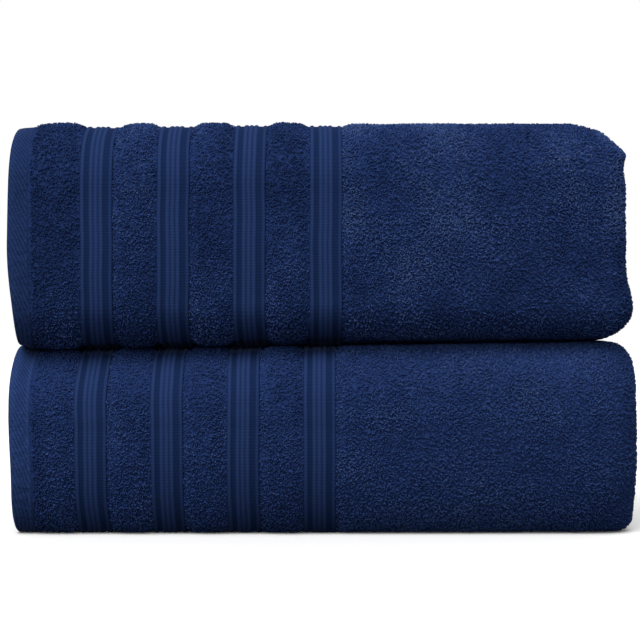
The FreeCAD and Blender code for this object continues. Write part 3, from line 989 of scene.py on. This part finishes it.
def twill_material(name, shade):
    """Hem cloth: steep twill lines, with fine creases; shade makes a lighter or darker copy, and
    the lower towel's lighter copy is painted light on its hem.
    """
    n = Nodes(name)
    dark = tuple(shade * c for c in WEAVE_DARK)
    light = tuple(shade * c for c in TWILL_LIGHT)
    wave = n.add("ShaderNodeTexWave", wave_type="BANDS", bands_direction="DIAGONAL")
    wave.inputs["Scale"].default_value = 170
    wave.inputs["Distortion"].default_value = 2.2
    wave.inputs["Detail"].default_value = 2.0
    turn = n.add("ShaderNodeMapping")
    turn.inputs["Scale"].default_value = (1.7, 0.8, 0.8)
    n.join(n.place, turn.inputs["Vector"])
    n.join(turn.outputs["Vector"], wave.inputs["Vector"])
    blend = n.math("ADD", n.math("MULTIPLY", wave.outputs["Fac"], 0.40),
                   n.math("MULTIPLY", n.noise(1100, 2), 0.70))
    colour = n.ramp(n.math("ADD", blend, n.attribute("tone")), (0.25, dark), (0.9, light))
    creased = n.math("ADD", blend, n.math("MULTIPLY", n.noise(150, 3, 0.6), 3.0))
    n.bump(creased, 0.6 * MM, 0.9)
    return n.finish(colour, n.between(n.noise(700), 0.7, 0.9), 0.10)


def thread_material():
    """Sewing thread, lighter than the cloth and with its twist."""
    n = Nodes("sewing_thread")
    twist = n.noise(2600, 1)
    colour = n.ramp(twist, (0.3, THREAD_DARK), (0.8, THREAD_LIGHT))
    n.bump(twist, 0.08 * MM)
    return n.finish(colour, n.between(n.noise(900), 0.5, 0.7), 0.05)


# ---------------------------------------------------------------- floor, light and camera

FLOOR_PALE = (0.88, 0.88, 0.88, 1)  # as the camera sees it
FLOOR_DIM = (0.06, 0.06, 0.06, 1)  # for other light, so that it throws little back
WHITE = (1, 1, 1, 1)
SURROUND_STRENGTH = 0.45  # of the light that it gives to the towels


def make_stage():
    """A plain pale floor, a white surround, and soft light from above, in front and behind."""
    scene = bpy.context.scene
    mesh = bpy.data.meshes.new("floor")
    size = 6.0
    mesh.from_pydata([(-size, -size, 0), (size, -size, 0), (size, size, 0), (-size, size, 0)], [],
                     [(0, 1, 2, 3)])
    floor = bpy.data.objects.new("floor", mesh)
    scene.collection.objects.link(floor)
    mesh.materials.append(floor_material())
    scene.world = studio_world()
    scene.view_settings.view_transform = "Standard"
    add_sun("key", energy=3.15, width=40, from_above=37, from_front=-22)
    add_sun("fill", energy=1.3, width=40, from_above=79, from_front=-5)
    add_sun("back", energy=1.2, width=50, from_above=55, from_front=160)


def add_sun(name, energy, width, from_above, from_front):
    """A broad soft light from far off.

    Its width and directions are in degrees; from_above is 0 straight down, and from_front is 0
    from the front of the towels.
    """
    data = bpy.data.lights.new(name, "SUN")
    data.energy = energy
    data.angle = math.radians(width)
    light = bpy.data.objects.new(name, data)
    light.rotation_euler = (math.radians(from_above), 0, math.radians(from_front))
    bpy.context.scene.collection.objects.link(light)


def by_camera_ray(tree, others, camera, surface):
    """Joins one shader for what the camera sees and another for the light that is passed on."""
    mix = tree.nodes.new("ShaderNodeMixShader")
    path = tree.nodes.new("ShaderNodeLightPath")
    tree.links.new(path.outputs["Is Camera Ray"], mix.inputs[0])
    tree.links.new(others.outputs[0], mix.inputs[1])
    tree.links.new(camera.outputs[0], mix.inputs[2])
    tree.links.new(mix.outputs[0], surface)


def floor_material():
    """A pale matt floor that throws little light back up at the towels."""
    material = bpy.data.materials.new("floor")
    material.use_nodes = True
    tree = material.node_tree
    pale = tree.nodes["Principled BSDF"]
    pale.inputs["Base Color"].default_value = FLOOR_PALE
    pale.inputs["Roughness"].default_value = 0.95
    dim = tree.nodes.new("ShaderNodeBsdfDiffuse")
    dim.inputs["Color"].default_value = FLOOR_DIM
    by_camera_ray(tree, dim, pale, tree.nodes["Material Output"].inputs["Surface"])
    return material


def studio_world():
    """A white surround that the camera sees at full brightness and the towels at less."""
    world = bpy.data.worlds.new("studio")
    world.use_nodes = True
    tree = world.node_tree
    seen = tree.nodes["Background"]
    seen.inputs["Color"].default_value = WHITE
    soft = tree.nodes.new("ShaderNodeBackground")
    soft.inputs["Color"].default_value = WHITE
    soft.inputs["Strength"].default_value = SURROUND_STRENGTH
    by_camera_ray(tree, soft, seen, tree.nodes["World Output"].inputs["Surface"])
    return world


def make_camera(towels):
    """A level view square to the rounded fronts, from a little over a metre away."""
    away, eye_height = 1.10, 0.120
    share = 0.986  # of the view's width that the towels' fronts take up
    left, right = min(t.left for t in towels), max(t.right for t in towels)
    front = min(t.front for t in towels)
    data = bpy.data.cameras.new("camera")
    data.sensor_width = 36
    data.lens = data.sensor_width * away * share / (right - left)
    camera = bpy.data.objects.new("camera", data)
    camera.location = ((right + left) / 2, front - away, eye_height)
    camera.rotation_euler = (math.radians(90), 0, 0)
    data.shift_x = -0.0022
    data.shift_y = 0.012
    bpy.context.scene.collection.objects.link(camera)
    bpy.context.scene.camera = camera


# ---------------------------------------------------------------- both towels


def make_towel(towel, materials):
    """Every piece of one towel: its ground cloth, and a list of the pieces on it."""
    cloth = make_cloth(towel, materials["ground"])
    pieces = make_all_pile(towel, materials["pile"])
    pieces += [make_border(towel, i, materials["border"]) for i in range(1, BORDERS + 1)]
    twill = materials[f"{towel.name}_twill"]
    for name, left, layers, seed in (("end_hem", towel.left, 0.5, 60),
                                     ("inner_end_hem", towel.inner_left, 1.5, 61)):
        pieces.append(make_end_hem(towel, name, left, layers * towel.layer, twill,
                                   towel.seed + seed))
    pieces.append(make_side_hem(towel, "outer_side_hems", 0.0, 1, twill))
    pieces.append(make_side_hem(towel, "inner_side_hems", towel.v_end, -1, twill))
    pieces += make_stitches(towel, materials["thread"])
    return cloth, pieces


def flat_size(towel):
    """The towel spread out: its width is the strip's course, its length the line of its layers."""
    line = cloth_line(towel, 0.0)[:, :2]
    return towel.v_end, float(np.linalg.norm(np.diff(line, axis=0), axis=1).sum())


TOWELS = (
    Towel("lower", top_bend=Bend(32 * MM, 34 * MM), bottom_bend=Bend(34 * MM, 62 * MM),
          bow=0.4 * MM, seed=3),
    Towel("upper", top_bend=Bend(42 * MM, 38 * MM), bottom_bend=Bend(20 * MM, 22 * MM),
          bow=1.2 * MM, seed=8),
)
make_camera(TOWELS)
MATERIALS = {
    "pile": pile_material(),
    "ground": ground_material(),
    "border": border_material(),
    "upper_twill": twill_material("upper_hem_twill", shade=1.0),
    # painted light: the lower towel's hem is a lighter copy of the same twill
    "lower_twill": twill_material("lower_hem_twill", shade=1.35),
    "thread": thread_material(),
}
for towel in TOWELS:
    cloth, pieces = make_towel(towel, MATERIALS)
    flat_size(towel)
make_stage()
